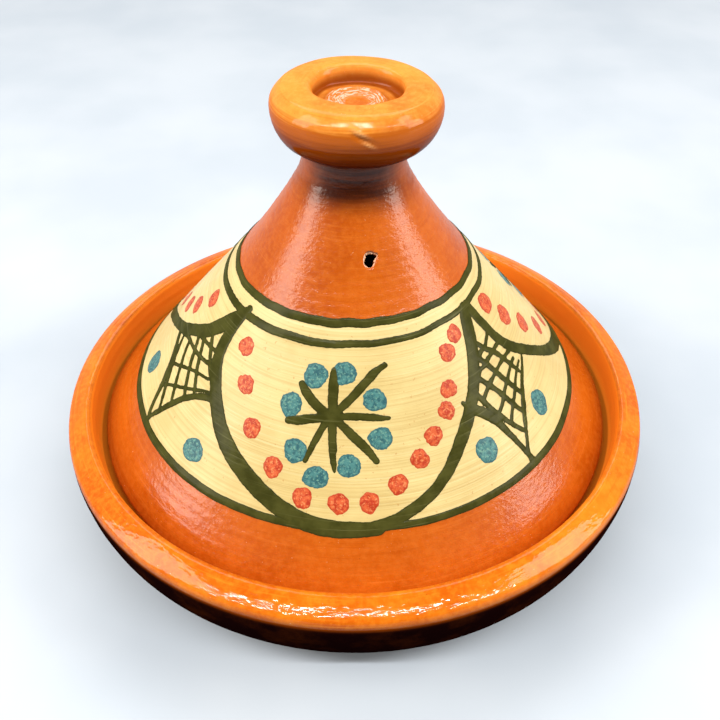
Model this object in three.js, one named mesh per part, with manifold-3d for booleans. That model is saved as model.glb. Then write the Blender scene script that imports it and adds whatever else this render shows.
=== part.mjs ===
// Tagine pot: a thrown terracotta dish with a rolled rim, a conical lid that
// drops into a gallery inside the rim, and a turned knob luted to the lid.
// Millimetres, +Z up. The origin is the centre of the dish's flat foot, and
// every profile point is [radius, height].
import * as THREE from 'three';
import { mergeVertices } from 'three/addons/utils/BufferGeometryUtils.js';
import Module from 'manifold-3d';

// ---- driving dimensions ----
const TOUCH_GAP = 0.3;                // clearance between pieces that rest on each other
const DISH_FACETS = 80;               // flats around the dish and the lid
const KNOB_FACETS = 56;
const VENT_FACETS = 20;
const ARC_STEPS = 6;

// dish
const FOOT_RADIUS = 78;
const DISH_WALL = [[84, 1.4], [100, 4], [116, 10.5], [126, 19], [131.2, 27.5], [134, 37]];
const RIM_HEIGHT = 57;                // top of the rolled rim above the table
const RIM_INNER_RADIUS = 122.5;
const RIM_OUTSIDE = [[135, 44], [135, 48], [134.3, 51.4], [132.7, 53.6], [130, 55.2], [127.4, 56.5]];
const RIM_CREST_RADIUS = 125.5;
const RIM_INSIDE = [[123.9, 56.1], [122.9, 54], [RIM_INNER_RADIUS, 50.5]];
const GALLERY_RADII = [110.5, 119.5];
const GALLERY_HEIGHT = 40 - TOUCH_GAP;
const BOWL = [[108.5, 34], [103, 25], [90, 16], [68, 11.5]];
const BOWL_DEPTH_HEIGHT = 10;         // the middle of the bowl's floor

// lid
const LID_EDGE_HEIGHT = 40;           // underside of the lid where it rests on the gallery
const LID_EDGE_RADIUS = 119.3;
const LID_LIP_HEIGHT = 42.4;
const LID_LIP_ROUND = 1.5;
const LID_SHOULDER = [101.9, 62.1];   // where the lower flare ends and the straight cone starts
const LID_UPPER = [48.6, 124.9];
const LID_NECK_CURVE = [[41, 135], [34.6, 144], [28.6, 153], [25, 159], [22.9, 163], [21.8, 168]];
const LID_TOP = [22.6, 175.8];
const LID_WALL = 7.6;                 // measured level, so about 6 mm square to the wall
const HOLLOW_DOME = [[0, 162], [7, 161], [13.5, 157.5], [17.7, 153]];

// vent hole pushed square through the lid's wall
const VENT_DIAMETER = 5;
const VENT_PLACE = [35.6, 142.2];
const VENT_TURN = THREE.MathUtils.degToRad(10.6);   // to the right of the front
const VENT_RISE = Math.atan2(LID_SHOULDER[0] - LID_UPPER[0], LID_UPPER[1] - LID_SHOULDER[1]);
const VENT_LENGTH = 24;

// knob
const KNOB_RADIUS = 33;
const KNOB_OFFSET = 1.3;              // it is luted on a little to the right
const KNOB_UNDERSIDE = LID_TOP[1] + TOUCH_GAP;
const KNOB_BELLY = [[24.5, KNOB_UNDERSIDE], [28.4, 178.3], [31.7, 183.3], [32.7, 187.2]];
const KNOB_SHOULDER = [26, 190];      // centre of the rounded top edge
const KNOB_TOP = 197.8;
const RECESS_EDGE = [[22.3, 197.5], [19.2, 197.1], [17.6, 196]];
const RECESS_RADIUS = 17;
const RECESS_FLOOR_HEIGHT = 191;

const TERRACOTTA = 0xc4571a;
const TERRACOTTA_LIGHT = 0xdc8234;

// ---- helpers ----
// Points of an arc of an ellipse in the profile plane, angles in degrees.
function arc([r, z], [radiusR, radiusZ], from, to) {
  const points = [];
  for (let i = 0; i <= ARC_STEPS; i += 1) {
    const angle = THREE.MathUtils.degToRad(from + ((to - from) * i) / ARC_STEPS);
    points.push([r + radiusR * Math.cos(angle), z + radiusZ * Math.sin(angle)]);
  }
  return points;
}

// A solid of revolution about +Z. The profile runs from axis to axis with the
// clay on its left.
function turned(profile, facets) {
  const outline = profile.map(([r, z]) => new THREE.Vector2(r, z));
  const geometry = new THREE.LatheGeometry(outline, facets);
  geometry.rotateX(Math.PI / 2);
  return geometry;
}

function piece(name, geometry, color, roughness) {
  const material = new THREE.MeshStandardMaterial({ color, roughness, metalness: 0 });
  const mesh = new THREE.Mesh(geometry, material);
  mesh.name = name;
  return mesh;
}

function toSolid(wasm, geometry) {
  const bare = geometry.clone();
  bare.deleteAttribute('normal');
  bare.deleteAttribute('uv');
  const merged = mergeVertices(bare, 1e-4);
  return new wasm.Manifold(new wasm.Mesh({
    numProp: 3,
    vertProperties: new Float32Array(merged.attributes.position.array),
    triVerts: new Uint32Array(merged.index.array),
  }));
}

function toGeometry(solid) {
  const result = solid.getMesh();
  const geometry = new THREE.BufferGeometry();
  geometry.setAttribute('position', new THREE.BufferAttribute(result.vertProperties, 3));
  geometry.setIndex(new THREE.BufferAttribute(result.triVerts, 1));
  geometry.computeVertexNormals();
  return geometry;
}

// ---- dish ----
function dish() {
  return turned([
    [0, 0],
    [FOOT_RADIUS, 0],
    ...DISH_WALL,
    ...RIM_OUTSIDE,
    [RIM_CREST_RADIUS, RIM_HEIGHT],
    ...RIM_INSIDE,
    [RIM_INNER_RADIUS - 0.6, 45],
    [RIM_INNER_RADIUS - 1.3, 41.5],
    [GALLERY_RADII[1], GALLERY_HEIGHT],
    [GALLERY_RADII[0], GALLERY_HEIGHT],
    ...BOWL,
    [0, BOWL_DEPTH_HEIGHT],
  ], DISH_FACETS);
}

// ---- lid ----
function lidShell() {
  const inside = [
    ...HOLLOW_DOME,
    [LID_UPPER[0] - LID_WALL, LID_UPPER[1]],
    [LID_SHOULDER[0] - LID_WALL, LID_SHOULDER[1]],
    [LID_EDGE_RADIUS - LID_WALL - LID_LIP_ROUND, LID_LIP_HEIGHT],
    [LID_EDGE_RADIUS - LID_WALL, LID_EDGE_HEIGHT],
  ];
  const outside = [
    [LID_EDGE_RADIUS - LID_LIP_ROUND, LID_EDGE_HEIGHT],
    [LID_EDGE_RADIUS, LID_LIP_HEIGHT],
    LID_SHOULDER,
    LID_UPPER,
    ...LID_NECK_CURVE,
    LID_TOP,
    [0, LID_TOP[1]],
  ];
  return turned([...inside, ...outside], DISH_FACETS);
}

// A rod through the vent's place, square to the wall.
function ventRod() {
  const radius = VENT_DIAMETER / 2;
  const rod = new THREE.CylinderGeometry(radius, radius, VENT_LENGTH, VENT_FACETS);
  rod.rotateX(-VENT_RISE);
  rod.translate(0, -VENT_PLACE[0], VENT_PLACE[1]);
  rod.rotateZ(VENT_TURN);
  return rod;
}

async function lid() {
  const wasm = await Module();
  wasm.setup();
  const shell = toSolid(wasm, lidShell());
  return toGeometry(shell.subtract(toSolid(wasm, ventRod())));
}

// ---- knob ----
function knob() {
  const roundness = [KNOB_RADIUS - KNOB_SHOULDER[0], KNOB_TOP - KNOB_SHOULDER[1]];
  const geometry = turned([
    [0, KNOB_UNDERSIDE],
    ...KNOB_BELLY,
    ...arc(KNOB_SHOULDER, roundness, 0, 90),
    ...RECESS_EDGE,
    [RECESS_RADIUS, 194],
    [RECESS_RADIUS - 1.7, RECESS_FLOOR_HEIGHT + 0.3],
    [0, RECESS_FLOOR_HEIGHT],
  ], KNOB_FACETS);
  geometry.translate(KNOB_OFFSET, 0, 0);
  return geometry;
}

// ---- assembly ----
const tagine = new THREE.Group();
tagine.add(piece('dish', dish(), TERRACOTTA, 0.45));
tagine.add(piece('lid', await lid(), TERRACOTTA, 0.5));
tagine.add(piece('lid_knob', knob(), TERRACOTTA_LIGHT, 0.45));

export default tagine;
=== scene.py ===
"""Looks of the tagine pot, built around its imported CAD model.

Everything is in metres in the CAD frame: +Z up, -Y to the front, and z = 0 is the table.
Profiles and painted motifs are written in millimetres and scaled by MM. The motifs are
painted on the lid's cone, so a point there is (azimuth in degrees, slant in millimetres
below the upper edge of the painted band); azimuth 0 is the front and grows to the right.
"""

import math

import bpy
import numpy as np
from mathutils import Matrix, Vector


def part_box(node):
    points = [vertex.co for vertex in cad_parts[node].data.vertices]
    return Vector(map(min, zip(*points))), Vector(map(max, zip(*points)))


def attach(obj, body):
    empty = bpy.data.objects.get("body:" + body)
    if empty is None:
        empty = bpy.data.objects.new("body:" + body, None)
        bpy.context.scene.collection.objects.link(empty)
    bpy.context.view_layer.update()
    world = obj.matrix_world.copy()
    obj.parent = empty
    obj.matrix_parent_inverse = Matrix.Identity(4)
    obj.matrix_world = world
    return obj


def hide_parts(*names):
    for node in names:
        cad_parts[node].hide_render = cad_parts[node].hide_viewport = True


MM = 0.001

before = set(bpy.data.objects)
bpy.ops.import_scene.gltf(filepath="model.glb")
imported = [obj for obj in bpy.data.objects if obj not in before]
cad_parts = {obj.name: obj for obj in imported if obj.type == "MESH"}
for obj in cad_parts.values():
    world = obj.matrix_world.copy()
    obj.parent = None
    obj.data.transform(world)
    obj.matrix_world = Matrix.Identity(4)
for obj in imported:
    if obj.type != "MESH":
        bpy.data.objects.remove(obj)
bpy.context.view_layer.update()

# ---------------------------------------------------------------- driving dimensions
DISH_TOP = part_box("dish")[1].z / MM
LID_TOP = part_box("lid")[1].z / MM
KNOB_LOW, KNOB_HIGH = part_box("lid_knob")
KNOB_OFFSET = (KNOB_LOW.x + KNOB_HIGH.x) / 2 / MM

# the painted cone, between the upper painted ring and the lower one
CONE_TOP = (48.6, 124.9)                 # radius, height
CONE_FOOT = (101.9, 62.1)
CONE_SLANT = math.dist(CONE_TOP, CONE_FOOT)
CONE_SINE = (CONE_FOOT[0] - CONE_TOP[0]) / CONE_SLANT
CONE_COSINE = (CONE_TOP[1] - CONE_FOOT[1]) / CONE_SLANT
APEX_SLANT = CONE_TOP[0] / CONE_SINE     # from the cone's apex to the band's upper edge

MEAN_RADIUS = 80                         # of the painted band, roughly

# vent hole
VENT_AZIMUTH = math.radians(9.6)
VENT_HEIGHT = 142.2
VENT_RADIUS = 2.8

# the fingertip dent on the knob
SCAR_AZIMUTH = math.radians(4)
SCAR_ALONG = 43                          # along the knob's profile, from the axis below
SCAR_RADIUS = 32                         # of the knob there

# mesh density
DISH_SEGMENTS = 360
LID_SEGMENTS = 400
KNOB_SEGMENTS = 240
SLIP_SEGMENTS, SLIP_ROWS = 440, 96
BAND_STEP = 0.55                         # grid of the painted skins

# where the clay's colour changes, mostly painted shade and painted light: each pair runs from
# where a mark starts to where it is full
UNDER_RIM_SHADE_HEIGHTS = (52.8, 47.6)             # painted shade: near black on the dish's outside below the rim, where the rim's shadow falls
SHADE_MATERIAL_FROM = 0.4                         # share of that painted shade where the matt, uncoated shade material starts
RIM_WALL_LIGHT_HEIGHTS = (56.2, 55.4)          # painted light: the wall inside the rim lighter and warmer, brightening its shade
RIM_WALL_LIGHT_RADIUS = 115                    # the painted light on the wall lies outside this
GAP_SHADE_HEIGHTS = (43, 41.4)              # painted shade in the gap at the lid's edge, inside the dish's rim
GAP_SHADE_RADII = (116.5, 119)
NECK_SHADE_HEIGHTS = (154, 164)                # painted shade on the lid's neck under the knob, full at the front
NECK_SHADE_BEHIND = 0.3                        # share of it away from the front
FRONT_COSINES = (0.45, 0.95)             # cosine of the azimuth at the edge of the front
KNOB_SHADE_HEIGHTS = (195.5, 177.5)          # painted shade on the knob's side, darker towards its underside
RECESS_REACH = 18.6                      # the knob's recess lies inside this radius
RECESS_BELOW = 187                       # and above this height

# thickness of the coatings above the clay
SLIP_LIFT = 0.12
OLIVE_LIFT = (0.17, 0.34)                # at the edge of a stroke and in its middle
NET_LIFT = (0.20, 0.37)                  # the lobes and nets cross over the rings
DAB_LIFT = (0.15, 0.26)
SKIN_ROUNDING = 0.45                     # how far from its edge a stroke reaches full height

# colours, in linear light
LIME = (0.562, 0.324, 0.18)
# near black of the painted shade below the dish's rim
SHADE_BLACK = (0.005, 0.001, 0.001)
RED_TONES = ((0.31, 0.026, 0.007), (0.45, 0.078, 0.022), (0.56, 0.21, 0.075))
BLUE_TONES = ((0.018, 0.075, 0.085), (0.048, 0.150, 0.142), (0.14, 0.27, 0.20))
WARM_LIGHT = (1.0, 0.93, 0.84)
SKY = (0.90, 0.95, 1.0)

# floor, lamps and camera, in metres and degrees
FLOOR_HEIGHT = -0.0002
FLOOR_REACH = 3.0
LAMP_AIM = Vector((0, 0, 0.08))
CAMERA_PLACE = (0, -0.2937, 0.3182)
CAMERA_TILT = 48.94
CAMERA_TURN = -0.476
CAMERA_LENS = 40.75                      # millimetres, on a 36 mm sensor

# ---------------------------------------------------------------- profiles
# each stretch is (spacing of the mesh rows, [(radius, height), ...]); a profile runs from
# the axis to the axis, with the clay on its left
DISH_PROFILE = [
    (3.0, [(0, 0.8), (20, 0.8), (50, 0.6), (62, 0.2), (70, 0), (76, 0), (79, 0.5)]),
    (1.7, [(84, 1.6), (92, 2.7), (100, 4.3), (108, 7), (116, 10.9), (126, 19.2),
           (131.2, 27.5), (134, 37)]),
    (0.95, [(135, 44), (135, 49), (134.7, 51.4), (133.9, 53.1), (132.5, 53.9), (131.1, 54.7),
            (129.2, 55.6), (127.2, 56.4), (125.6, DISH_TOP - 0.1), (124.3, 56.4),
            (123.5, 55.2), (123.2, 53.4), (122.8, 50.5), (122.3, 46), (121.5, 42.5),
            (120.4, 40.3), (118.6, 39.4), (116, 39.4)]),
    (1.6, [(112, 39.4), (110.6, 38.8), (109.2, 36), (106.6, 31), (102, 24.8), (96, 19.6),
           (88, 15.6), (78, 13), (66, 11.5), (40, 10.4), (0, 10)]),
]
LID_INSIDE = [
    (3.0, [(0, 162), (5, 161.5), (10, 159.8), (14.2, 156.6), (18.5, 151.5), (26, 143),
           (41, 124.9), (60, 102.5), (80, 79), (94.3, 62.1), (103, 52)]),
    (1.5, [(110.3, 43.4), (111.8, 41), (113.4, 40.1)]),
]
LID_LIP = [(116.2, 40), (118.2, 40.5), (119.2, 41.7), (119.3, 43), (117.9, 44.8), (112, 51.1),
           (107.4, 56)]
LID_NECK = [(41, 134.4), (34.6, 143.4), (28.6, 152.4), (25, 158.4), (22.7, 162.6), (21.3, 166.4),
            (20.6, 170), (20.5, 173.5), (20.8, LID_TOP), (19, LID_TOP + 0.2), (0, LID_TOP + 0.2)]
KNOB_PROFILE = [
    (0.75, [(0, 176.4), (21, 176.2), (24.3, 176), (28.4, 178.3), (31.6, 183.2),
            (32.7, 187.2), (32.9, 190), (32.6, 192.4), (31.7, 194.4), (30.6, 195.5),
            (29.5, 196.6), (27.9, 197.4)]),
    (0.5, [(25.5, 197.7), (22.3, 197.8), (19.4, 197.7), (18.2, 197.3), (17.6, 196.4),
           (17.3, 194.4), (17.1, 192.4), (16.7, 191.5), (15.4, 191.2), (12.8, 191.1),
           (11.4, 191.7), (10.3, 192.2), (9.2, 191.8), (7.8, 191.2), (6.6, 191.5),
           (5.4, 191.1), (0, 191)]),
]
CONE_STRETCH = (84.5, 83.3, 40, -1.3, -2.5)   # slants where the lid's side is a true cone

# ---------------------------------------------------------------- painted motifs
# strokes: (azimuth, slant, width) along the middle of the brush's path
FRONT_LOBE_LEFT = [
    (-51.8, 8, 3.2), (-53.6, 13, 5), (-54.7, 20, 6.2), (-54.6, 26, 6.6), (-53.8, 31, 6.7),
    (-51.8, 36, 6.7), (-49, 41, 6.8), (-46, 46, 6.8), (-42.8, 51, 6.9), (-38.8, 56.5, 7.2),
    (-34.2, 61.5, 7.4), (-28.7, 66.5, 7.3), (-22.7, 71.5, 7.2), (-16.5, 76, 7), (-10, 79.3, 7),
    (-3, 80.4, 6.6), (5, 80.2, 5.4),
]
FRONT_LOBE_RIGHT = [
    (53.5, 9, 5), (51, 14, 6.5), (48.5, 20.5, 6.7), (45.5, 27, 6.3), (42, 34, 5.8),
    (38.8, 40, 5.8), (35, 46, 5.8), (31.6, 51.5, 5.9), (28, 57, 5.6), (23.5, 64, 5),
    (18.5, 70, 4.8), (13, 74.8, 4.8), (7, 78.4, 4.6), (0, 80.4, 4),
]
NEXT_LOBE_LEFT = [
    (56, 9, 4.5), (57.2, 15, 4.8), (58.7, 21, 4.8), (60.5, 28, 4.8), (63.5, 35, 5),
    (67.5, 41, 5), (71.8, 47, 5), (76.3, 53, 5), (80.8, 59.3, 5.2), (85.5, 65.3, 6),
    (91, 71, 7), (96.5, 75.6, 7.4), (103, 79.2, 7), (111, 80.4, 6.6),
]
LAST_LOBE_RIGHT = [
    (-51.2, 7.6, 2.6), (-53.5, 11, 5), (-57.5, 16.5, 6.6), (-61.5, 22.5, 7), (-65.5, 28, 6.6),
    (-70, 32.3, 5.8), (-75, 37, 5.5), (-80, 41.8, 5.4), (-85, 46.2, 5), (-90, 50.3, 4.8),
    (-95, 54.8, 4.8), (-100, 60, 5), (-105, 65.6, 5.6), (-110, 70.8, 6.4), (-116, 76, 7),
    (-123, 79.8, 7), (-132, 80.6, 6.4),
]
RIGHT_NET = [
    [(34.3, 41.2, 2), (36.3, 44.5, 4), (38.8, 47.7, 4.6), (41, 51, 4.5), (42.8, 55, 4.2),
     (44, 59.5, 3.4), (45.2, 64.5, 2.9), (46.3, 70, 2.5), (47.2, 75, 2.7), (48.2, 80, 3)],
    [(66.5, 44.5, 1.6), (63.5, 47.2, 2), (60, 50.2, 2.3), (57, 54, 2.7), (54, 59, 2.9),
     (51.5, 64.2, 2.4), (49.5, 69, 2), (47.6, 74.3, 2), (47, 78, 2)],
    [(50.1, 24.2, 2.2), (52.5, 28.2, 2.5), (55.2, 31.6, 2.6), (57, 35.4, 2.5),
     (58.8, 40.2, 2.5), (60.3, 45, 2.2), (61, 47, 1.8)],
    [(47.4, 29, 2.6), (49.2, 33, 2.7), (51, 37.8, 2.7), (52.8, 43.2, 2.6), (54.6, 48.2, 2.5),
     (56.1, 53, 2.3), (56.7, 54.6, 2.1)],
    [(42.9, 34.6, 2.6), (45.3, 39.4, 2.7), (47.4, 43.6, 2.7), (49.2, 48.2, 2.6),
     (50.7, 53, 2.6), (52.2, 57.6, 2.4), (53.4, 60.4, 2.2)],
    [(39.9, 40.6, 2.6), (41.7, 45.8, 2.6), (43.2, 50.4, 2.6), (45, 54.8, 2.5),
     (46.8, 59.4, 2.4), (48.6, 63.4, 2.2), (50.4, 67.2, 1.8)],
    [(46.5, 30, 1.8), (49.5, 27.7, 2), (53, 27, 1.9), (56, 25, 1.8), (58.5, 23.2, 1.8)],
    [(43.5, 35.4, 1.8), (46, 33.4, 2), (48, 33.2, 2.1), (51, 32, 2.1), (54, 31.4, 2),
     (57, 30.8, 1.9), (59.5, 30.6, 1.8)],
    [(41, 45.8, 1.8), (42.6, 43.6, 2), (45, 41.5, 2.1), (48, 39.8, 2.1), (51, 38.6, 2),
     (55, 37.4, 1.9), (59, 37, 1.9), (63, 37.2, 1.8)],
    [(44.7, 53, 1.8), (46.8, 51.3, 2), (49.2, 48.7, 2.1), (51, 46.8, 2), (53.7, 45, 1.9),
     (56.4, 43.1, 1.9), (58.5, 41.9, 1.9), (62, 41, 1.8)],
    [(47.1, 59.4, 1.8), (48.6, 57.2, 1.9), (51, 54, 1.9), (53.4, 51.8, 1.8),
     (55.8, 49.2, 1.7), (58.5, 46.8, 1.6), (60.9, 45.2, 1.5), (63.8, 44.2, 1.4)],
]
LEFT_NET = [
    [(-82, 45.8, 2.6), (-77.5, 49.2, 3.6), (-73.6, 54.2, 4.2), (-71.5, 59.2, 4.2),
     (-69.7, 64.4, 3.4), (-68.2, 71, 2.8), (-66.7, 76, 2.6), (-65.5, 78.8, 2.6)],
    [(-46.6, 47.4, 3), (-50.5, 49.2, 2.8), (-53.8, 52.2, 2.8), (-57.1, 56.2, 2.9),
     (-59.5, 60.8, 3), (-61.6, 65.6, 3), (-63.4, 70.6, 2.8), (-64.9, 75.2, 2.4),
     (-65.5, 78.6, 2.4)],
    [(-79, 43.6, 1.6), (-76.6, 42, 1.8), (-73, 40.2, 2), (-70, 39.8, 2), (-66.4, 39.4, 2),
     (-62.5, 38.9, 2), (-58, 37.9, 1.9), (-53.8, 37, 1.8)],
    [(-68.8, 33.6, 1.8), (-65.8, 32.8, 1.9), (-62.5, 32.2, 1.9), (-59.2, 31.8, 1.8),
     (-55.4, 31.2, 1.7)],
    [(-73.6, 55.2, 1.5), (-70, 52.2, 1.6), (-66.7, 49.4, 1.6), (-63.4, 47.1, 1.6),
     (-60.1, 45, 1.5), (-56.2, 43.4, 1.5), (-52.3, 42.3, 1.4)],
    [(-49, 46, 1.4), (-52, 47.6, 1.5), (-56.2, 50.8, 1.6), (-60.1, 54, 1.6),
     (-64, 57.4, 1.6), (-67, 60.4, 1.6), (-70.4, 65.4, 1.4)],
    [(-62.2, 27.8, 2.2), (-59.5, 31.4, 2.3), (-57.1, 34.6, 2.3), (-54.7, 37.8, 2.3),
     (-52.6, 40.2, 2.2)],
    [(-65.2, 32.2, 2.3), (-63.1, 36.2, 2.4), (-61, 40.2, 2.4), (-58.9, 44.2, 2.3),
     (-56.5, 48.2, 2.2), (-55, 50.8, 2)],
    [(-68.8, 34.2, 2.3), (-66.4, 38.6, 2.4), (-64.6, 42.8, 2.4), (-62.5, 47.2, 2.4),
     (-60.1, 51.6, 2.3), (-58, 55.6, 2.1)],
    [(-71.8, 41, 2.2), (-69.7, 45.8, 2.3), (-67.3, 50.6, 2.3), (-65.2, 55, 2.3),
     (-63.4, 58.8, 2.2), (-61.3, 63, 2)],
    [(-76.9, 44.4, 2.2), (-75.1, 48.2, 2.5), (-73, 52.2, 2.6), (-70.9, 56.2, 2.6),
     (-68.8, 60.2, 2.5), (-66.7, 64.4, 2.4), (-64.3, 69.6, 2)],
]
# the star's arms, about its own middle (azimuth, slant, width)
STAR_MIDDLE = (-6.9, 37.5)
STAR_ARMS = [
    [(-13.1, 3.8, 3.2), (-10, 2.9, 3.7), (-5, 1, 3.5), (0, 0, 3), (6.5, -0.6, 3),
     (12, 0, 2.9), (17, 0.8, 1.6)],
    [(-0.6, -18, 2.4), (-0.4, -14, 3.8), (-0.2, -8, 4), (0, 0, 3.4), (0.5, 9.5, 3.3),
     (1, 16, 2.7), (1.5, 20.8, 1.4)],
    [(-11.2, -11.2, 2.6), (-9.2, -8.2, 3.8), (-5.2, -4, 3.8), (0, 0, 3), (6, 6.5, 3.7),
     (10.2, 12.5, 3.4), (12.5, 17, 2.4)],
    [(17.8, -19.6, 2), (15, -18, 3), (11.6, -14.8, 3.5), (7.6, -10, 3.5),
     (2.4, -3.6, 3.2), (-1.8, 2.5, 3), (-4.6, 10.5, 2.6), (-6.4, 17.8, 2.2)],
]
STAR_DABS = [
    (-6.9, -15.1, 9.6), (3.2, -17, 9.2), (13.2, -6.6, 9), (14, 8.3, 9.1), (5.2, 18.4, 9.2),
    (-3.1, 23.7, 9.4), (-9.5, 14.8, 9.5), (-13.4, -2.3, 9.4),
]
STAR_TURNS = [0, 124, -125]              # azimuth from the front star to each star
# dabs: (azimuth, slant, diameter)
RED_DABS = [
    (-44, 21, 7.8), (-37.7, 34.3, 8), (-30.5, 49, 8.2), (-21.5, 60.7, 8.2), (-12.7, 69.8, 8.2),
    (-4, 70.5, 8.2), (3.2, 70.1, 7.9), (10.5, 64.2, 7.9), (17.1, 56.1, 7.7), (22.3, 48.8, 7.7),
    (28.3, 41.1, 7.4), (31.3, 33.5, 7.4), (36, 20.2, 7.6), (42.3, 15, 7.3),
    (67.5, 15.5, 9.2), (73.5, 27.5, 9.6), (81, 40.5, 9.6), (90, 54.5, 9.2), (99.5, 65, 9),
    (109, 70.2, 8.4), (118, 70.4, 8.2), (127, 66, 8), (135, 58, 8), (142, 48, 8),
    (149, 37, 8), (155, 26, 8), (162, 16, 7.6),
    (-77, 20, 8.2), (-85, 31.8, 8.4), (-92.5, 40.5, 8.4), (-102, 50, 8.4), (-111, 60, 8.4),
    (-121, 67.4, 8.4), (-130, 70.3, 8.2), (-140, 68, 8), (-148, 60, 8), (-155, 50, 8),
    (-161, 39, 8), (-167, 27, 8), (-173, 16, 7.8),
]
BLUE_DABS = [
    (36.1, 62.7, 10.6), (60.8, 63.8, 11.2), (-45.2, 69.8, 10.6), (-82.1, 68, 11.4),
]
BACK_TURN = 123.5                        # the unseen back corner repeats the right one

# rings: slant of the middle, its sway round the lid, its width
RINGS = {
    "upper": (1.3, 0.5, 3.1),
    "middle": (9.3, 1.3, 3.1),
    "lower": (80.1, 0.5, 3.7),
}


# ---------------------------------------------------------------- curves and fields
def smooth_line(points, step):
    """A smooth curve through the points, with step (one, or one for each gap) between rows."""
    points = np.array(points, float)
    chord = np.linalg.norm(np.diff(points[:, :2], axis=0), axis=1)
    slope = np.diff(points, axis=0) / chord[:, None]
    tangent = np.empty_like(points)
    tangent[0], tangent[-1] = slope[0], slope[-1]
    before, after = chord[:-1, None], chord[1:, None]
    tangent[1:-1] = (slope[:-1] * after + slope[1:] * before) / (before + after)
    made = []
    for i, gap in enumerate(np.broadcast_to(step, chord.shape)):
        count = max(1, int(round(chord[i] / gap)))
        t = (np.arange(count) / count)[:, None]
        start = (1 + 2 * t) * (1 - t) ** 2 * points[i] + t * (1 - t) ** 2 * chord[i] * tangent[i]
        end = t * t * (3 - 2 * t) * points[i + 1] - t * t * (1 - t) * chord[i] * tangent[i + 1]
        made.append(start + end)
    made.append(points[-1:])
    return np.concatenate(made)


def profile_line(stretches):
    """One smooth profile through stretches of (spacing, points)."""
    points = [point for _, stretch in stretches for point in stretch]
    gaps = [gap for gap, stretch in stretches for _ in stretch]
    return smooth_line(points, gaps[:-1])


def waves(x, y, size, seed, count=9):
    """Smooth noise of about unit height: a few plane waves of about that size, seeded."""
    random = np.random.default_rng(seed)
    total = np.zeros(np.broadcast(x, y).shape)
    for _ in range(count):
        turn = random.uniform(0, math.tau)
        pace = math.tau / (size * random.uniform(0.7, 1.5))
        phase = random.uniform(0, math.tau)
        total += np.sin(pace * (x * math.cos(turn) + y * math.sin(turn)) + phase)
    return total / math.sqrt(count / 2)


def full_turn(count):
    """Azimuths of count points round the axis, in radians, starting behind the pot."""
    return np.linspace(-math.pi, math.pi, count, endpoint=False)


def smoothstep(low, high, value):
    t = np.clip((value - low) / (high - low), 0, 1)
    return t * t * (3 - 2 * t)


# ---------------------------------------------------------------- the clay's relief, in mm
def round_waves(azimuth, along, size, height, seed):
    """Low bumps on a turned surface that meet themselves after a full turn."""
    across = waves(np.cos(azimuth) * 40, along, size, seed)
    deep = waves(np.sin(azimuth) * 40, along * 0.7, size, seed + 1)
    return height * 0.5 * (across + deep)


def throwing_rings(azimuth, along, pitch, height, seed):
    """The fine spiral that the potter's fingers leave, stronger here and fainter there."""
    spiral = np.sin(math.tau * along / pitch + azimuth + 1.4 * np.sin(along / 9.0 + seed))
    second = np.sin(math.tau * along / (pitch * 0.43) - azimuth + seed)
    strength = 0.55 + 0.45 * np.sin(2 * azimuth + along / 13.0 + seed)
    return height * (spiral * strength + 0.35 * second)


def lid_relief(azimuth, slant):
    """Relief of the lid's outside, at a slant below the painted band's upper edge."""
    ridges = throwing_rings(azimuth, slant, 4.6, 0.06, 2.0)
    lumps = round_waves(azimuth, slant, 46, 0.16, 11)
    oval = 0.22 * np.sin(2 * azimuth + 0.7)
    return ridges + lumps + oval


def dish_relief(azimuth, along):
    ridges = throwing_rings(azimuth, along, 5.2, 0.07, 5.0)
    lumps = round_waves(azimuth, along, 52, 0.18, 21)
    oval = 0.2 * np.sin(2 * azimuth + 2.1)
    return (ridges + lumps + oval) * smoothstep(79, 92, along)


def knob_relief(azimuth, along):
    ridges = throwing_rings(azimuth, along, 2.6, 0.035, 8.0)
    lumps = round_waves(azimuth, along, 24, 0.09, 31)
    tilt = -0.45 * np.sin(azimuth) * smoothstep(38, 52, along)
    return ridges + lumps + tilt + knob_scar(azimuth, along)


def scar_place(azimuth, along):
    """Distance along the scar and square to it, in mm."""
    across = (azimuth - SCAR_AZIMUTH) * SCAR_RADIUS
    return across, across * 0.55 + along - SCAR_ALONG


def scar_lip(azimuth, along):
    """The raised edges of the scar, from 0 to 1."""
    across, lean = scar_place(azimuth, along)
    upper = np.exp(-((lean - 1.4) / 0.7) ** 2 - ((across + 1.5) / 2.6) ** 2)
    lower = np.exp(-((lean + 1.1) / 0.6) ** 2 - ((across - 1.5) / 2.0) ** 2)
    return upper + 0.8 * lower


def knob_scar(azimuth, along):
    """The dent on the knob's front, where the clay was pushed with a fingertip."""
    across, lean = scar_place(azimuth, along)
    dent = -1.2 * np.exp(-(lean / 0.9) ** 2 - (across / 3.4) ** 2)
    return dent + 0.8 * scar_lip(azimuth, along)


# ---------------------------------------------------------------- meshes
def make_object(name, verts, faces):
    mesh = bpy.data.meshes.new(name)
    mesh.from_pydata(verts.tolist(), [], faces)
    mesh.polygons.foreach_set("use_smooth", [True] * len(mesh.polygons))
    mesh.update()
    made = bpy.data.objects.new(name, mesh)
    bpy.context.scene.collection.objects.link(made)
    return made


def set_attribute(obj, name, values):
    layer = obj.data.attributes.new(name, "FLOAT", "POINT")
    layer.data.foreach_set("value", np.asarray(values, np.float32))


def profile_normals(line):
    """Unit normals of a profile, pointing to the right of its direction."""
    along = np.gradient(line, axis=0)
    along /= np.linalg.norm(along, axis=1, keepdims=True)
    return np.stack([along[:, 1], -along[:, 0]], 1)


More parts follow.
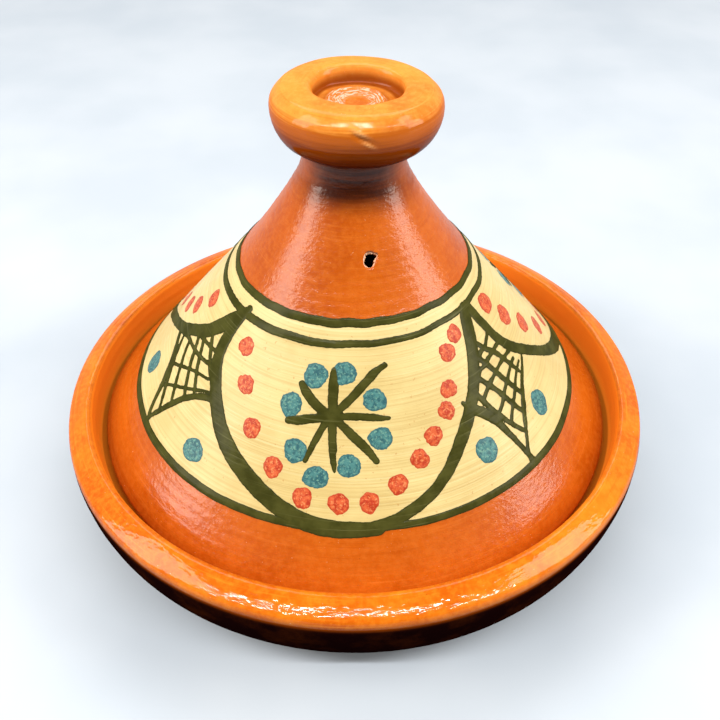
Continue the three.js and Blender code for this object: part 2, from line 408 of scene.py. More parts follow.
def turn_profile(name, line, segments, lift, middle=0.0):
    """A closed solid of revolution about X = middle. lift(azimuth, row) is in mm."""
    normal = profile_normals(line)[1:-1, :, None]
    inner = line[1:-1, :, None]
    azimuth = full_turn(segments)
    out = lift(azimuth[None, :]) * smoothstep(0, 12, inner[:, 0])
    radius = inner[:, 0] + out * normal[:, 0]
    height = inner[:, 1] + out * normal[:, 1]
    x = middle + radius * np.sin(azimuth)
    y = -radius * np.cos(azimuth)
    body = np.stack([x, y, height], -1).reshape(-1, 3)
    poles = np.array([[middle, 0, line[0, 1]], [middle, 0, line[-1, 1]]])
    verts = np.concatenate([body, poles]) * MM
    return make_object(name, verts, turned_faces(len(line) - 2, segments))


def distance_along(line):
    """Distance of every row of a profile from its start, without the two poles."""
    steps = np.linalg.norm(np.diff(line, axis=0), axis=1)
    return np.cumsum(steps)[:-1, None]


def mark_rows(obj, name, values, segments, behind=1.0):
    """A point attribute with one value for each row of a turned piece.

    Away from the front it is only the share behind of that value.
    """
    values = np.asarray(values, float)
    front = smoothstep(*FRONT_COSINES, np.cos(full_turn(segments)))
    whole = (values[:, None] * (behind + (1 - behind) * front)).reshape(-1)
    set_attribute(obj, name, np.append(whole, [values[0], values[-1]]))


def ring_faces(rows, count, flip=False):
    """Quads between rows of count points round the axis. Flip turns them over."""
    faces = []
    for row in range(rows - 1):
        low, high = row * count, (row + 1) * count
        for i in range(count):
            j = (i + 1) % count
            if flip:
                faces.append((low + i, high + i, high + j, low + j))
            else:
                faces.append((low + i, low + j, high + j, high + i))
    return faces


def turned_faces(rows, segments):
    """The rings of a turned piece, closed with a fan at each end of its axis."""
    faces = ring_faces(rows, segments)
    first, last = rows * segments, rows * segments + 1
    top = (rows - 1) * segments
    for i in range(segments):
        j = (i + 1) % segments
        faces.append((first, j, i))
        faces.append((top + i, top + j, last))
    return faces


# ---------------------------------------------------------------- the painted cone
def cone_points(azimuth, slant, lift):
    """Points on the lid's cone, in metres, lift mm above the clay."""
    out = lift + lid_relief(azimuth, slant)
    radius = CONE_TOP[0] + slant * CONE_SINE + out * CONE_COSINE
    height = CONE_TOP[1] - slant * CONE_COSINE + out * CONE_SINE
    points = [radius * np.sin(azimuth), -radius * np.cos(azimuth), height]
    return np.stack(points, -1) * MM


def unrolled(azimuth, slant):
    """The cone laid flat, so that distances on it are true."""
    reach = slant + APEX_SLANT
    turn = azimuth * CONE_SINE
    return reach * np.sin(turn), reach * np.cos(turn)


class Grid:
    """The painted band as a grid of azimuth and slant, with a field of distances to paint.

    The field is negative inside the paint. It starts far from any paint, and each stroke
    and dab lowers it where it lies.
    """

    LOW, HIGH = -4.0, 87.0

    def __init__(self):
        self.columns = int(math.tau * MEAN_RADIUS / BAND_STEP)
        self.rows = int((self.HIGH - self.LOW) / BAND_STEP) + 1
        self.azimuth = -math.pi + math.tau * np.arange(self.columns) / self.columns
        self.slant = np.linspace(self.LOW, self.HIGH, self.rows)
        self.field = np.full((self.rows, self.columns), 9.0)

    def window(self, azimuth, slant, margin):
        """Indices of the part of the grid within margin mm of the given points."""
        radius = CONE_TOP[0] + max(min(slant) - margin, 0) * CONE_SINE
        spread = margin / radius
        middle = (min(azimuth) + max(azimuth)) / 2
        half = (max(azimuth) - min(azimuth)) / 2 + spread
        away = (self.azimuth - middle + math.pi) % math.tau - math.pi
        columns = np.nonzero(np.abs(away) <= half)[0]
        near = (self.slant >= min(slant) - margin) & (self.slant <= max(slant) + margin)
        return np.nonzero(near)[0], columns, away[columns], middle

    def stroke(self, points, seed):
        """A brush stroke along (azimuth in degrees, slant, width) points."""
        line = smooth_line(points, 1.6)
        azimuth = np.radians(line[:, 0])
        rows, columns, away, middle = self.window(azimuth, line[:, 1], 5.0)
        x, y = unrolled(away[None, :], self.slant[rows][:, None])
        px, py = unrolled(azimuth - middle, line[:, 1])
        best = np.full(x.shape, 9.0)
        for i in range(len(px) - 1):
            dx, dy = px[i + 1] - px[i], py[i + 1] - py[i]
            t = ((x - px[i]) * dx + (y - py[i]) * dy) / (dx * dx + dy * dy + 1e-9)
            t = np.clip(t, 0, 1)
            half = (line[i, 2] + (line[i + 1, 2] - line[i, 2]) * t) / 2
            best = np.minimum(best, np.hypot(x - px[i] - t * dx, y - py[i] - t * dy) - half)
        best += 0.07 * waves(x, y, 6.0, seed) + 0.045 * waves(x, y, 1.8, seed + 1)
        self.lower(rows, columns, best)

    def dab(self, azimuth, slant, diameter, seed):
        """A round dab of a sponge or a full brush."""
        random = np.random.default_rng(seed)
        turn = math.radians(azimuth)
        rows, columns, away, _ = self.window([turn], [slant], diameter)
        x, y = unrolled(away[None, :], self.slant[rows][:, None])
        _, reach = unrolled(0.0, slant)
        squash = random.uniform(0.93, 1.07)
        x, y = x / squash, (y - reach) * squash
        angle = np.arctan2(y, x)
        edge = diameter / 2
        for beat, height in ((2, 0.16), (3, 0.17), (4, 0.12), (6, 0.09), (9, 0.06)):
            edge = edge + height * np.sin(beat * angle + random.uniform(0, math.tau))
        best = np.hypot(x, y) - edge
        best += 0.09 * waves(x, y, 1.5, seed)
        self.lower(rows, columns, best)

    def ring(self, middle, sway, width, seed):
        """A band painted while the lid turned on the wheel."""
        turn = self.azimuth[None, :]
        line = middle - sway * np.sin(turn)
        half = width / 2 + 0.22 * np.sin(turn + seed) + 0.12 * np.sin(3 * turn + seed)
        x, y = MEAN_RADIUS * np.cos(turn), MEAN_RADIUS * np.sin(turn)
        wander = 0.14 * waves(x, y, 21, seed)
        best = np.abs(self.slant[:, None] - line - wander) - half
        best = best + 0.05 * waves(MEAN_RADIUS * turn, self.slant[:, None] * 2, 3.0, seed)
        self.field = np.minimum(self.field, best)

    def lower(self, rows, columns, values):
        block = np.ix_(rows, columns)
        self.field[block] = np.minimum(self.field[block], values)

    def skin(self, name, lift):
        """A thin skin over the painted area, its outline cut where the field is zero."""
        azimuth, slant, depth, faces = self.cut_cells()
        height = lift[0] + (lift[1] - lift[0]) * (1 - np.exp(-depth / SKIN_ROUNDING))
        made = make_object(name, cone_points(azimuth, slant, height), faces)
        set_attribute(made, "depth", depth)
        return made

    def cut_cells(self):
        """Points and faces of the painted cells: azimuths, slants, depths in the paint, faces."""
        field = self.field
        index, azimuth, slant, depth = {}, [], [], []

        def add(key, turn, down, value):
            if key not in index:
                index[key] = len(azimuth)
                azimuth.append(turn)
                slant.append(down)
                depth.append(value)
            return index[key]

        faces = []
        pace = math.tau / self.columns
        drop = self.slant[1] - self.slant[0]
        for row, column in self.painted_cells():
            cell = [(row, column), (row + 1, column), (row + 1, column + 1), (row, column + 1)]
            face = []
            for here, there in zip(cell, cell[1:] + cell[:1]):
                a = field[here[0], here[1] % self.columns]
                b = field[there[0], there[1] % self.columns]
                if a < 0:
                    turn, down = -math.pi + pace * here[1], self.slant[here[0]]
                    face.append(add((here[0], here[1] % self.columns), turn, down, -a))
                if (a < 0) != (b < 0):
                    share = a / (a - b)
                    turn = -math.pi + pace * (here[1] + share * (there[1] - here[1]))
                    down = self.slant[here[0]] + drop * share * (there[0] - here[0])
                    ends = sorted([(here[0], here[1] % self.columns),
                                   (there[0], there[1] % self.columns)])
                    face.append(add(tuple(ends), turn, down, 0.0))
            if len(face) >= 3:
                faces.append(face)
        return np.array(azimuth), np.array(slant), np.array(depth), faces

    def painted_cells(self):
        """Cells of the grid that the paint touches."""
        inside = self.field < 0
        wrapped = np.concatenate([inside, inside[:, :1]], axis=1)
        touched = wrapped[:-1, :-1] | wrapped[1:, :-1] | wrapped[:-1, 1:] | wrapped[1:, 1:]
        return list(zip(*np.nonzero(touched)))


def turned_by(points, degrees):
    return [(azimuth + degrees, *rest) for azimuth, *rest in points]


def corners():
    """The strokes of the three corners: right, left and the unseen back one."""
    right = [FRONT_LOBE_RIGHT, NEXT_LOBE_LEFT] + RIGHT_NET
    left = [FRONT_LOBE_LEFT, LAST_LOBE_RIGHT] + LEFT_NET
    back = [turned_by(stroke, BACK_TURN) for stroke in right]
    return {"right": right, "left": left, "back": back}


def star(turn):
    middle = STAR_MIDDLE[0] + turn
    return [
        [(middle + a, STAR_MIDDLE[1] + s, width) for a, s, width in arm] for arm in STAR_ARMS
    ]


def paint_olive():
    """The rings, the lobes with their nets, and the stars: one skin for each group."""
    made = []
    for number, (name, (middle, sway, width)) in enumerate(RINGS.items()):
        grid = Grid()
        grid.ring(middle, sway, width, 40 + number)
        made.append(grid.skin(f"ring_{name}", OLIVE_LIFT))
    for number, (name, strokes) in enumerate(corners().items()):
        grid = Grid()
        for k, stroke in enumerate(strokes):
            grid.stroke(stroke, 100 * (number + 1) + 3 * k)
        made.append(grid.skin(f"lobes_and_net_{name}", NET_LIFT))
    grid = Grid()
    for number, turn in enumerate(STAR_TURNS):
        for k, arm in enumerate(star(turn)):
            grid.stroke(arm, 600 + 20 * number + 3 * k)
    made.append(grid.skin("stars", OLIVE_LIFT))
    return made


def paint_dabs():
    reds = Grid()
    for number, dab in enumerate(RED_DABS):
        reds.dab(*dab, 700 + number)
    blues = Grid()
    for number, dab in enumerate(BLUE_DABS + turned_by(BLUE_DABS[:2], BACK_TURN)):
        blues.dab(*dab, 800 + number)
    for number, turn in enumerate(STAR_TURNS):
        for k, (azimuth, slant, size) in enumerate(STAR_DABS):
            place = (azimuth + STAR_MIDDLE[0] + turn, slant + STAR_MIDDLE[1], size)
            blues.dab(*place, 850 + 10 * number + k)
    return reds.skin("red_dabs", DAB_LIFT), blues.skin("blue_dabs", DAB_LIFT)


def slip_band():
    """The cream slip, brushed on between the upper and the lower ring."""
    low, high = RINGS["upper"][0] - 0.4, RINGS["lower"][0] + 0.3
    slant = np.linspace(low, high, SLIP_ROWS)
    turn, down = np.meshgrid(full_turn(SLIP_SEGMENTS), slant)
    edge = np.minimum(down - low, high - down)
    lift = SLIP_LIFT * smoothstep(-0.4, 0.8, edge)
    verts = cone_points(turn, down, lift).reshape(-1, 3)
    return make_object("slip_band", verts, ring_faces(len(slant), SLIP_SEGMENTS, flip=True))


# ---------------------------------------------------------------- the three clay pieces
def cone_point(slant):
    return (CONE_TOP[0] + slant * CONE_SINE, CONE_TOP[1] - slant * CONE_COSINE)


def make_dish():
    line = profile_line(DISH_PROFILE)
    along = distance_along(line)
    dish = turn_profile("glazed_dish", line, DISH_SEGMENTS, lambda turn: dish_relief(turn, along))
    radius, height = line[1:-1, 0], line[1:-1, 1]
    row = np.arange(len(radius))
    outside = row <= int(np.argmax(height))
    # painted shade: near black on the outside below the rim
    under_rim_shade = outside * smoothstep(*UNDER_RIM_SHADE_HEIGHTS, height)
    mark_rows(dish, "under_rim_shade", under_rim_shade, DISH_SEGMENTS)
    # painted shade in the gap at the lid's edge
    gap_shade = ~outside * smoothstep(*GAP_SHADE_HEIGHTS, height) * smoothstep(*GAP_SHADE_RADII, radius)
    mark_rows(dish, "gap_shade", gap_shade, DISH_SEGMENTS)
    # painted light on the wall inside the rim
    painted_wall_shading = ~outside * smoothstep(*RIM_WALL_LIGHT_HEIGHTS, height) * (radius > RIM_WALL_LIGHT_RADIUS)
    mark_rows(dish, "painted_wall_shading", painted_wall_shading, DISH_SEGMENTS)
    # faces under the thick of the painted shade take the matt shade material
    shade_row = int(np.argmax(under_rim_shade < SHADE_MATERIAL_FROM))
    shade_below = [polygon.index < (shade_row - 1) * DISH_SEGMENTS for polygon in dish.data.polygons]
    return dish, shade_below


def make_lid():
    cone = [cone_point(slant) for slant in CONE_STRETCH]
    outside = [(1.1, LID_LIP + cone + LID_NECK)]
    line = profile_line(LID_INSIDE + outside)
    slant = (CONE_TOP[1] - line[1:-1, 1:]) / CONE_COSINE
    lid = turn_profile("turned_lid", line, LID_SEGMENTS, lambda turn: lid_relief(turn, slant))
    lowest = int(np.argmin(line[1:-1, 1]))
    row = np.arange(len(slant))
    mark_rows(lid, "inside", row < lowest, LID_SEGMENTS)
    # painted shade of the knob's shadow on the neck, full at the front
    neck_shade = (row > lowest) * smoothstep(*NECK_SHADE_HEIGHTS, line[1:-1, 1])
    mark_rows(lid, "neck_shade", neck_shade, LID_SEGMENTS, NECK_SHADE_BEHIND)
    cut_vent(lid)
    return lid


def make_knob():
    line = profile_line(KNOB_PROFILE)
    along = distance_along(line)
    knob = turn_profile(
        "turned_knob", line, KNOB_SEGMENTS, lambda turn: knob_relief(turn, along), KNOB_OFFSET
    )
    radius, height = line[1:-1, 0], line[1:-1, 1]
    recess = height > RECESS_BELOW
    # painted shade in the knob's recess: dark on its wall, lighter on its floor
    painted_wall_shading = smoothstep(18, 17.2, radius) * smoothstep(14, 15.4, radius) * recess
    floor = 0.3 * smoothstep(17, 16, radius) * recess
    painted_wall_shading = np.maximum(painted_wall_shading * smoothstep(196, 192.4, height), floor)
    mark_rows(knob, "recess_shade", painted_wall_shading, KNOB_SEGMENTS)
    ripples = smoothstep(11.6, 10.4, radius) * smoothstep(4, 6, radius) * recess
    mark_rows(knob, "ripples", ripples, KNOB_SEGMENTS)
    # painted shade on the knob's side, darkest at its underside
    upper, lower = KNOB_SHADE_HEIGHTS
    shade_below = np.clip((upper - height) / (upper - lower), 0, 1) * (radius > RECESS_REACH)
    mark_rows(knob, "shade_below", shade_below, KNOB_SEGMENTS)
    # painted highlight on the dent's raised edges
    scar_highlight = scar_lip(full_turn(KNOB_SEGMENTS)[None, :], along).reshape(-1)
    set_attribute(knob, "scar_lip", np.append(scar_highlight, [0, 0]))
    return knob


def vent_outline(angle):
    """Radius of the vent hole at an angle: longer up and down, with a torn notch at the right."""
    notch = 0.85 * np.exp(-(((angle - 0.45 + math.pi) % math.tau - math.pi) / 0.3) ** 2)
    tall = 0.42 * np.cos(2 * (angle - 1.25))
    uneven = 0.05 * np.sin(3 * angle + 0.4) + 0.03 * np.sin(5 * angle)
    return VENT_RADIUS + tall + notch + uneven


def vent_place(angle, reach, out):
    """A point reach mm from the hole's middle, out mm above the cone, in metres."""
    slant = (CONE_TOP[1] - VENT_HEIGHT) / CONE_COSINE - reach * np.sin(angle)
    radius = CONE_TOP[0] + slant * CONE_SINE
    azimuth = VENT_AZIMUTH + reach * np.cos(angle) / radius
    away = out + lid_relief(azimuth, slant)
    radius = radius + away * CONE_COSINE
    height = CONE_TOP[1] - slant * CONE_COSINE + away * CONE_SINE
    return np.stack([radius * np.sin(azimuth), -radius * np.cos(azimuth), height], -1) * MM


def cut_vent(lid):
    """Cut the vent hole through the lid's wall, square to its outside."""
    count = 40
    angle = np.arange(count) * math.tau / count
    rings = [vent_place(angle, vent_outline(angle), out) for out in (6.0, 1.0, -4.0, -14.0)]
    verts = np.concatenate(rings)
    ends = [tuple(range(count)), tuple(range(4 * count - 1, 3 * count - 1, -1))]
    cutter = make_object("vent_cutter", verts, ends + ring_faces(len(rings), count, flip=True))
    cut = lid.modifiers.new("vent", "BOOLEAN")
    cut.operation = "DIFFERENCE"
    cut.solver = "EXACT"
    cut.object = cutter
    view = bpy.context.evaluated_depsgraph_get()
    mesh = bpy.data.meshes.new_from_object(lid.evaluated_get(view))
    lid.modifiers.clear()
    lid.data = mesh
    bpy.data.objects.remove(cutter)


def make_burr():
    """The torn lip of clay round the vent hole."""
    around, section = 72, 8
    angle = np.arange(around) * math.tau / around
    turn = np.arange(section) * math.tau / section
    angle, turn = np.meshgrid(angle, turn, indexing="ij")
    rough = waves(np.cos(angle) * 4, np.sin(angle) * 4, 2.2, 61)
    thick = 0.58 + 0.15 * rough + 0.2 * np.sin(angle - 0.2)
    reach = vent_outline(angle) + 0.12 + thick * np.cos(turn) * 1.2
    out = 0.1 + thick * np.sin(turn) * 0.8
    verts = vent_place(angle, reach, out).reshape(-1, 3)
    faces = []
    for i in range(around):
        for k in range(section):
            i2, k2 = (i + 1) % around, (k + 1) % section
            faces.append((i * section + k, i2 * section + k, i2 * section + k2, i * section + k2))
    return make_object("vent_burr", verts, faces)


# ---------------------------------------------------------------- materials
class Graph:
    """A node tree: small calls that add nodes and give their output sockets."""

    def __init__(self, tree):
        self.tree = tree

    def node(self, kind, inputs=None, **settings):
        made = self.tree.nodes.new(kind)
        for name, value in settings.items():
            setattr(made, name, value)
        for name, value in (inputs or {}).items():
            self.feed(made.inputs[name], value)
        return made

    def feed(self, socket, value):
        if isinstance(value, bpy.types.NodeSocket):
            self.tree.links.new(value, socket)
        else:
            socket.default_value = value

    def math(self, operation, *values):
        return self.node("ShaderNodeMath", dict(enumerate(values)), operation=operation).outputs[0]

    def span(self, value, low, high, to_low=0.0, to_high=1.0):
        """Value from low to high, eased into to_low to to_high."""
        inputs = {"Value": value, "From Min": low, "From Max": high,
                  "To Min": to_low, "To Max": to_high}
        return self.node("ShaderNodeMapRange", inputs, interpolation_type="SMOOTHSTEP").outputs[0]


class Shader(Graph):
    """A procedural material, in the coordinates of the pot."""

    def __init__(self, name):
        self.material = bpy.data.materials.new(name)
        self.material.use_nodes = True
        super().__init__(self.material.node_tree)
        self.surface = self.tree.nodes["Principled BSDF"]
        self.here = self.node("ShaderNodeTexCoord").outputs["Object"]

    def mix(self, share, first, second):
        made = self.node("ShaderNodeMix", {0: share}, data_type="RGBA")
        for socket, value in ((made.inputs[6], first), (made.inputs[7], second)):
            if not isinstance(value, bpy.types.NodeSocket):
                value = (*value, 1.0)
            self.feed(socket, value)
        return made.outputs[2]

    def noise(self, size, detail=2.0, roughness=0.5, seed=0.0):
        """Even noise with features of about size mm."""
        inputs = {"Vector": self.here, "W": seed, "Scale": 1 / (size * MM), "Detail": detail,
                  "Roughness": roughness}
        return self.node("ShaderNodeTexNoise", inputs, noise_dimensions="4D").outputs[0]

    def cells(self, size):
        """Distance to the middle of random cells of about size mm."""
        inputs = {"Vector": self.here, "Scale": 1 / (size * MM)}
        return self.node("ShaderNodeTexVoronoi", inputs, feature="F1").outputs["Distance"]

    def rings(self, size, detail=2.0, roughness=0.5, seed=0.0, middle=0.0, sway=45.0):
        """Noise drawn out into rings round the axis: size mm across, sway mm along."""
        parts = self.node("ShaderNodeSeparateXYZ", {0: self.here}).outputs
        x = self.math("SUBTRACT", parts[0], middle * MM)
        flat = self.node("ShaderNodeCombineXYZ", {0: x, 1: parts[1]}).outputs[0]
        radius = self.node("ShaderNodeVectorMath", {0: flat}, operation="LENGTH").outputs["Value"]
        slow = [self.math("MULTIPLY", part, 1 / (sway * MM)) for part in (x, parts[1])]
        across = self.math("MULTIPLY", radius, 1 / (size * MM))
        place = self.node("ShaderNodeCombineXYZ", {0: slow[0], 1: slow[1], 2: across}).outputs[0]
        height = self.math("MULTIPLY_ADD", parts[2], 1 / (size * MM), seed)
        inputs = {"Vector": place, "W": height, "Scale": 1.0, "Detail": detail,
                  "Roughness": roughness}
        return self.node("ShaderNodeTexNoise", inputs, noise_dimensions="4D").outputs[0]

    def attribute(self, name):
        return self.node("ShaderNodeAttribute", attribute_name=name).outputs["Fac"]

    def bump(self, height, depth, under=None):
        """Bumps of depth mm for a height that runs from 0 to 1."""
        inputs = {"Height": height, "Distance": depth * MM, "Strength": 1.0}
        made = self.node("ShaderNodeBump", inputs)
        if under is not None:
            self.feed(made.inputs["Normal"], under)
        return made.outputs[0]

    def finish(self, **values):
        for name, value in values.items():
            name = name.replace("_", " ").title().replace("Ior", "IOR")
            self.feed(self.surface.inputs[name], value)
        return self.material


def clay_colour(s, deep, warm, light, line_size, middle=0.0):
    """Fired clay under its clear coat: clouds, turning lines, iron specks and lime specks."""
    clouds = s.span(s.noise(34, 3, 0.6), 0.35, 0.65)
    colour = s.mix(clouds, deep, warm)
    fine = s.span(s.noise(2.4, 2, 0.6, 3.0), 0.35, 0.7, 0.0, 0.35)
    colour = s.mix(fine, colour, light)
    lines = s.rings(line_size, 3, 0.65, 1.0, middle)
    colour = s.mix(s.span(lines, 0.56, 0.72, 0.0, 0.5), colour, deep)
    colour = s.mix(s.span(lines, 0.44, 0.3, 0.0, 0.45), colour, light)
    iron = s.span(s.noise(0.8, 1, 0.5, 5.0), 0.73, 0.79, 0.0, 0.5)
    colour = s.mix(iron, colour, tuple(part * 0.25 for part in deep))
    lime = s.span(s.noise(0.9, 1, 0.5, 9.0), 0.735, 0.78, 0.0, 0.5)
    return s.mix(lime, colour, LIME), lines


def dish_material():
    s = Shader("dish_terracotta")
    colour, lines = clay_colour(
        s, (0.40, 0.072, 0.002), (0.57, 0.140, 0.005), (0.66, 0.21, 0.015), 1.2
    )
    # painted light: lighter, warmer wall inside the rim
    painted_wall_shading = s.math("MULTIPLY", s.attribute("painted_wall_shading"), 0.9)
    colour = s.mix(painted_wall_shading, colour, (0.90, 0.25, 0.018))
    # painted shade in the gap at the lid's edge
    gap_shade = s.math("MULTIPLY", s.attribute("gap_shade"), 0.6)
    colour = s.mix(gap_shade, colour, (0.12, 0.02, 0.001))
    # painted shade below the rim, near black
    colour = s.mix(s.attribute("under_rim_shade"), colour, SHADE_BLACK)
    bump = s.bump(lines, 0.10)
    bump = s.bump(s.noise(1.6, 3, 0.7, 2.0), 0.08, bump)
    glaze = s.bump(s.rings(1.5, 1, 0.5, 7.0, sway=4.2), 0.14)
    rough = s.span(s.noise(5, 3, 0.6, 4.0), 0.3, 0.7, 0.34, 0.52)
    return s.finish(
        base_color=colour, roughness=rough, normal=bump, coat_normal=glaze,
        specular_ior_level=0.0, coat_weight=0.42, coat_roughness=0.05, coat_ior=1.5,
    )


def shade_base_material():
    # painted shade below the dish's rim: near black with patches and turning lines, going over
    # into clay where it thins out
    s = Shader("shaded_base")
    patches = s.span(s.noise(16, 4, 0.65), 0.45, 0.70)
    colour = s.mix(patches, SHADE_BLACK, (0.02, 0.004, 0.001))
    lines = s.rings(1.4, 3, 0.6, 3.0)
    colour = s.mix(s.span(lines, 0.55, 0.7, 0.0, 0.5), colour, (0.002, 0.001, 0.001))
    colour = s.mix(s.attribute("under_rim_shade"), (0.50, 0.085, 0.002), colour)
    bump = s.bump(lines, 0.12)
    bump = s.bump(s.noise(1.5, 3, 0.7, 2.0), 0.10, bump)
    rough = s.span(s.noise(5, 3, 0.6, 4.0), 0.3, 0.7, 0.6, 0.8)
    return s.finish(base_color=colour, roughness=rough, normal=bump, specular_ior_level=0.0)


def lid_material():
    s = Shader("lid_terracotta")
    colour, lines = clay_colour(
        s, (0.31, 0.05, 0.001), (0.395, 0.075, 0.003), (0.47, 0.115, 0.012), 1.0
    )
    bands = s.span(s.rings(1.6, 3, 0.6, 4.0), 0.2, 0.7, 0.75, 1.0)
    # painted shade on the neck, in bands
    neck_shade = s.math("MULTIPLY", s.attribute("neck_shade"), bands)
    colour = s.mix(neck_shade, colour, (0.025, 0.004, 0.001))
    inside = s.attribute("inside")
    clouds = s.span(s.noise(9, 4, 0.6, 6.0), 0.35, 0.65)
    bare = s.mix(clouds, (0.302, 0.086, 0.029), (0.374, 0.13, 0.05))
    colour = s.mix(inside, colour, bare)
    ridges = s.math("MULTIPLY_ADD", s.attribute("neck_shade"), 1.5, 1.0)
    bump = s.bump(s.math("MULTIPLY", lines, ridges), 0.09)
    bump = s.bump(s.noise(0.9, 2, 0.7, 2.0), 0.11, bump)
    wrinkles = s.bump(s.rings(1.4, 2, 0.6, 11.0, sway=4.0), 0.16)
    wrinkles = s.bump(s.noise(2.0, 2, 0.6, 12.0), 0.20, wrinkles)
    rough = s.span(s.noise(7, 3, 0.6, 4.0), 0.3, 0.7, 0.36, 0.50)
    return s.finish(
        base_color=colour, roughness=rough, normal=bump, coat_normal=wrinkles,
        specular_ior_level=0.0, coat_weight=0.60, coat_roughness=0.23, coat_ior=1.5,
    )


def knob_material():
    s = Shader("knob_terracotta")
    colour, lines = clay_colour(
        s, (0.45, 0.108, 0.010), (0.600, 0.205, 0.026), (0.67, 0.29, 0.055), 0.9, KNOB_OFFSET
    )
    # painted shade on the knob's side, streaked along the turning lines
    streaks = s.span(lines, 0.35, 0.65, 0.06, -0.06)
    shade_below = s.math("ADD", s.attribute("shade_below"), streaks)
    colour = s.mix(s.span(shade_below, 0.0, 0.25), colour, (0.36, 0.080, 0.005))
    colour = s.mix(s.span(shade_below, 0.25, 0.65), colour, (0.17, 0.028, 0.001))
    colour = s.mix(s.span(shade_below, 0.60, 0.98), colour, (0.06, 0.007, 0.001))
    # painted shade in the knob's recess
    painted_wall_shading = s.math("MULTIPLY", s.attribute("recess_shade"), 0.9)
    colour = s.mix(painted_wall_shading, colour, (0.20, 0.030, 0.001))
    # painted highlight on the dent's raised edges
    scar_highlight = s.math("MULTIPLY", s.attribute("scar_lip"), 0.75)
    colour = s.mix(scar_highlight, colour, (0.72, 0.38, 0.14))
    bump = s.bump(lines, 0.09)
    # painted highlight: pale broken rings on the ripples' crests for the glaze's sparkle
    painted_glints = s.span(s.rings(0.55, 2, 0.6, 5.0, KNOB_OFFSET, 3.0), 0.50, 0.56)
    painted_glints = s.math("MULTIPLY", painted_glints, s.attribute("ripples"))
    colour = s.mix(s.math("MULTIPLY", painted_glints, 0.45), colour, (0.70, 0.60, 0.50))
    ripples = s.math("MULTIPLY_ADD", s.attribute("ripples"), 4.0, 1.0)
    dashes = s.rings(0.7, 2, 0.6, 7.0, KNOB_OFFSET, 2.6)
    glaze = s.bump(s.math("MULTIPLY", dashes, ripples), 0.035)
    rough = s.span(s.noise(5, 3, 0.6, 4.0), 0.3, 0.7, 0.30, 0.46)
    return s.finish(
        base_color=colour, roughness=rough, normal=bump, coat_normal=glaze,
        specular_ior_level=0.0, coat_weight=0.28, coat_roughness=0.06, coat_ior=1.5,
    )


def slip_material():
    s = Shader("cream_slip")
    clouds = s.span(s.noise(26, 3, 0.6), 0.35, 0.65)
    colour = s.mix(clouds, (0.455, 0.340, 0.126), (0.515, 0.405, 0.168))
    lines = s.rings(0.62, 1, 0.5, 2.0, sway=90.0)
    colour = s.mix(s.span(lines, 0.50, 0.66, 0.0, 0.36), colour, (0.36, 0.235, 0.07))
    colour = s.mix(s.span(lines, 0.42, 0.3, 0.0, 0.25), colour, (0.575, 0.50, 0.285))
    specks = s.span(s.noise(1.3, 1, 0.5, 5.0), 0.69, 0.75, 0.0, 0.6)
    colour = s.mix(specks, colour, (0.36, 0.187, 0.05))
    bump = s.bump(lines, 0.09)
    bump = s.bump(s.noise(1.1, 2, 0.6, 2.0), 0.03, bump)
    rough = s.span(s.noise(6, 3, 0.6, 4.0), 0.3, 0.7, 0.42, 0.56)
    return s.finish(
        base_color=colour, roughness=rough, normal=bump, coat_normal=bump,
        specular_ior_level=0.3, coat_weight=0.1, coat_roughness=0.25,
    )


def olive_material():
    s = Shader("olive_paint")
    clouds = s.span(s.noise(9, 3, 0.6), 0.35, 0.65)
    colour = s.mix(clouds, (0.029, 0.029, 0.005), (0.049, 0.048, 0.01))
    lines = s.rings(0.9, 3, 0.7, 2.0)
    colour = s.mix(s.span(lines, 0.43, 0.28, 0.0, 0.6), colour, (0.115, 0.112, 0.04))
    edge = s.span(s.attribute("depth"), 0.0, 0.7, 0.75, 0.0)
    colour = s.mix(edge, colour, (0.022, 0.023, 0.006))
    bump = s.bump(lines, 0.09)
    bump = s.bump(s.noise(1.0, 2, 0.6, 2.0), 0.04, bump)
    rough = s.span(s.noise(4, 3, 0.6, 4.0), 0.3, 0.7, 0.38, 0.52)
    return s.finish(
        base_color=colour, roughness=rough, normal=bump, coat_normal=bump,
        specular_ior_level=0.0, coat_weight=0.1, coat_roughness=0.2,
    )


def dab_material(name, deep, body, pale):
    """Paint dabbed on with a sponge: a darker wet edge and small open spots."""
    s = Shader(name)
    pools = s.span(s.noise(1.7, 3, 0.7, 1.0), 0.42, 0.56)
    colour = s.mix(pools, deep, body)
    spots = s.span(s.cells(1.5), 0.18, 0.42, 0.0, 1.0)
    colour = s.mix(s.span(s.noise(1.0, 2, 0.65, 3.0), 0.53, 0.64, 0.0, 0.7), colour, pale)
    edge = s.span(s.attribute("depth"), 0.15, 1.0, 0.7, 0.0)
    colour = s.mix(edge, colour, deep)
    bump = s.bump(spots, 0.05)
    bump = s.bump(s.noise(0.9, 2, 0.6, 3.0), 0.06, bump)
    rough = s.span(s.noise(2, 2, 0.6, 4.0), 0.3, 0.7, 0.42, 0.60)
    return s.finish(
        base_color=colour, roughness=rough, normal=bump, coat_normal=bump,
        specular_ior_level=0.15, coat_weight=0.1, coat_roughness=0.3,
    )


def burr_material():
    s = Shader("torn_clay")
    grain = s.span(s.noise(0.8, 3, 0.7), 0.35, 0.65)
    colour = s.mix(grain, (0.50, 0.20, 0.08), (0.72, 0.48, 0.32))
    bump = s.bump(s.noise(0.7, 3, 0.7, 2.0), 0.12)
    return s.finish(base_color=colour, roughness=0.7, normal=bump)


def floor_material():
    s = Shader("pale_floor")
    clouds = s.span(s.noise(120, 3, 0.5), 0.3, 0.7)
    colour = s.mix(clouds, (0.36, 0.40, 0.445), (0.41, 0.445, 0.485))
    return s.finish(base_color=colour, roughness=0.55)


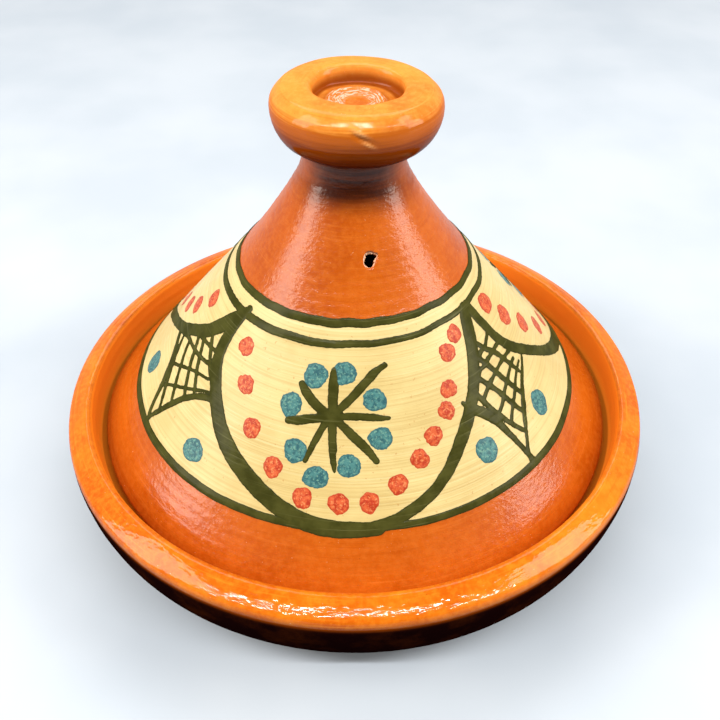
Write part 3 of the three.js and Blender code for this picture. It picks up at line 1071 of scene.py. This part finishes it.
# ---------------------------------------------------------------- dressing the frame
def dress(obj, material, body, replaces=None):
    obj.data.materials.clear()
    obj.data.materials.append(material)
    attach(obj, body)
    if replaces:
        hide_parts(replaces)


def build_pot():
    dish, shaded_faces = make_dish()
    dress(dish, dish_material(), "dish", "dish")
    # the faces below the rim take the painted-shade material
    dish.data.materials.append(shade_base_material())
    dish.data.polygons.foreach_set("material_index", shaded_faces)
    dress(make_lid(), lid_material(), "lid", "lid")
    dress(make_knob(), knob_material(), "lid", "lid_knob")
    dress(make_burr(), burr_material(), "lid")
    dress(slip_band(), slip_material(), "lid")
    olive = olive_material()
    for skin in paint_olive():
        dress(skin, olive, "lid")
    reds, blues = paint_dabs()
    dress(reds, dab_material("red_paint", *RED_TONES), "lid")
    dress(blues, dab_material("blue_paint", *BLUE_TONES), "lid")


# ---------------------------------------------------------------- floor, light and camera
def make_floor():
    reach = FLOOR_REACH
    corners = [(-reach, -reach), (reach, -reach), (reach, reach), (-reach, reach)]
    verts = np.array([(x, y, FLOOR_HEIGHT) for x, y in corners])
    floor = make_object("floor", verts, [(0, 1, 2, 3)])
    floor.data.materials.append(floor_material())


def softbox(name, azimuth, elevation, distance, size, power, colour=(1, 1, 1)):
    """A rectangular lamp that looks at the pot. Azimuth 0 is the front, + to the right."""
    turn, rise = math.radians(azimuth), math.radians(elevation)
    level = math.cos(rise)
    away = Vector((math.sin(turn) * level, -math.cos(turn) * level, math.sin(rise)))
    lamp = bpy.data.lights.new(name, "AREA")
    lamp.shape = "RECTANGLE"
    lamp.size, lamp.size_y = size
    lamp.energy = power
    lamp.color = colour
    made = bpy.data.objects.new(name, lamp)
    made.location = LAMP_AIM + away * distance
    made.rotation_euler = away.to_track_quat("Z", "Y").to_euler()
    bpy.context.scene.collection.objects.link(made)


def make_lights():
    softbox("left_softbox", -77, 31, 1.5, (0.62, 1.25), 26, WARM_LIGHT)
    softbox("right_softbox", 80, 31, 1.5, (0.62, 1.25), 24, WARM_LIGHT)
    softbox("top_strip", 0, 65, 2.2, (3.4, 0.05), 64)
    softbox("back_softbox", 180, 56, 2.0, (1.8, 0.9), 20)


def make_world():
    """A pale room, brighter at the sides and the back than in front."""
    world = bpy.data.worlds.new("studio")
    world.use_nodes = True
    graph = Graph(world.node_tree)
    direction = graph.node("ShaderNodeTexCoord").outputs["Generated"]
    parts = graph.node("ShaderNodeSeparateXYZ", {0: direction}).outputs
    sides = graph.span(graph.math("ABSOLUTE", parts[0]), 0.25, 0.85, 0.08, 0.45)
    back = graph.span(parts[1], 0.1, 0.8, 0.0, 0.5)
    sky = graph.tree.nodes["Background"]
    sky.inputs["Color"].default_value = (*SKY, 1.0)
    graph.feed(sky.inputs["Strength"], graph.math("ADD", sides, back))
    bpy.context.scene.world = world


def make_camera():
    lens = bpy.data.cameras.new("camera")
    lens.lens = CAMERA_LENS
    lens.sensor_width = 36
    camera = bpy.data.objects.new("camera", lens)
    camera.location = CAMERA_PLACE
    camera.rotation_euler = (math.radians(CAMERA_TILT), 0, math.radians(CAMERA_TURN))
    bpy.context.scene.collection.objects.link(camera)
    bpy.context.scene.camera = camera


build_pot()
make_floor()
make_lights()
make_world()
make_camera()
bpy.context.scene.view_settings.view_transform = "Standard"
